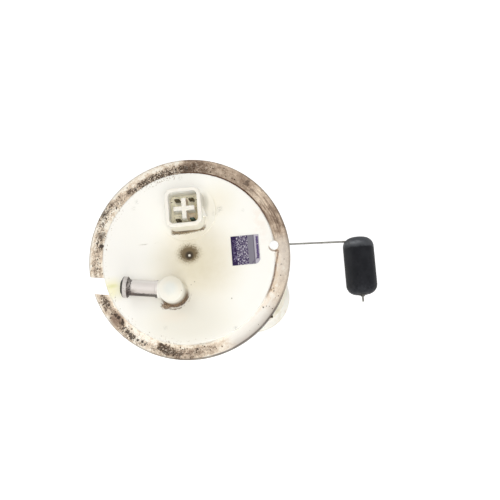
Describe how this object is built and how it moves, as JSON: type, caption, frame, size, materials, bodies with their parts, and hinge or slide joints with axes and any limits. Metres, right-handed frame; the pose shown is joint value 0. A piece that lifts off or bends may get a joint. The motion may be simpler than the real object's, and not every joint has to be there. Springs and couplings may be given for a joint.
{
  "type": "fuel pump",
  "caption": "In-tank fuel pump module: round seating flange with outlet elbow and harness socket, filter case with turbine pump, reservoir, and hinged float arm.",
  "frame": {"origin": "centre of the flange rim's underside, where the module seats on the tank", "axes": "+Z out of the tank along the flange axis, +X towards the float, -Z down to the reservoir feet"},
  "size_m": [0.1684, 0.12, 0.1718],
  "materials": {
    "flange_plastic": "moulded acetal, stained",
    "case_plastic": "moulded, natural white",
    "reservoir_plastic": "moulded, natural white",
    "sender_plastic": "moulded",
    "label": "printed film, faded",
    "terminal_metal": "tinned and tarnished",
    "seal_rubber": "smooth",
    "foam": "closed-cell, fine-grained",
    "wire_steel": "drawn",
    "spring_steel": "bright",
    "shell_steel": "zinc-plated",
    "filter_paper": "pleated",
    "pipe_plastic": "smooth",
    "pump_plastic": "glass-filled",
    "carbon": "pressed carbon",
    "bronze": "sintered",
    "ferrite": "pressed ferrite",
    "lamination": "stacked sheet",
    "copper": "enamelled wire, varnished",
    "impeller_resin": "phenolic",
    "pump_aluminium": "die-cast",
    "mesh": "woven filter cloth",
    "resistor_ceramic": "printed tracks",
    "contact_metal": "sprung strip"
  },
  "bodies": {
    "module": {"flange": "flange_plastic", "connector_pins": "terminal_metal", "label": "label", "flange_seal": "seal_rubber", "riser_pipe": "pipe_plastic", "riser_o_rings": "seal_rubber", "filter_case": "case_plastic", "case_cover": "case_plastic", "filter_element": "filter_paper", "filter_end_caps": "pipe_plastic", "filter_o_ring": "seal_rubber", "outlet_seal": "seal_rubber", "pump_shell": "shell_steel", "pump_end_cap": "pump_plastic", "pump_terminals": "terminal_metal", "brushes": "carbon", "brush_springs": "spring_steel", "upper_bush": "bronze", "lower_bush": "bronze", "magnets": "ferrite", "impeller_housing": "pump_aluminium", "inlet_cover": "pump_aluminium", "pump_cushion": "seal_rubber", "pump_retainer": "pump_plastic", "valve_stop": "contact_metal", "check_valve_spring": "spring_steel", "reservoir_cup": "reservoir_plastic", "foot_valve": "seal_rubber", "strainer_bag": "mesh", "strainer_frame": "sender_plastic", "strainer_clip": "spring_steel", "pressure_regulator": "shell_steel", "regulator_o_ring": "seal_rubber", "regulator_clip": "spring_steel", "sender_body": "sender_plastic", "resistor_card": "resistor_ceramic", "sender_terminals": "contact_metal"},
    "float_arm": {"arm_holder": "sender_plastic", "wiper": "contact_metal", "arm_wire": "wire_steel", "float": "foam", "float_clip": "spring_steel"},
    "rotor": {"rotor_shaft": "spring_steel", "armature_core": "lamination", "armature_winding": "copper", "commutator": "carbon", "impeller": "impeller_resin"},
    "outlet_valve": {"check_valve": "contact_metal"}
  },
  "joints": [
    {"name": "float_arm_hinge", "type": "hinge", "parent": "module", "child": "float_arm", "pos_m": [0.01, 0.015, -0.088], "axis": [0, -1, 0], "range_deg": [-17, 43]},
    {"name": "rotor_spin", "type": "hinge", "parent": "module", "child": "rotor", "pos_m": [-0.0235, -0.0035, -0.079], "axis": [0, 0, 1], "continuous": true},
    {"name": "outlet_valve_lift", "type": "slide", "parent": "module", "child": "outlet_valve", "axis": [0, 0, 1], "range_m": [0, 0.0015], "stiffness_N_per_m": 60, "springref_m": -0.002, "deforming": ["check_valve_spring"]}
  ]
}
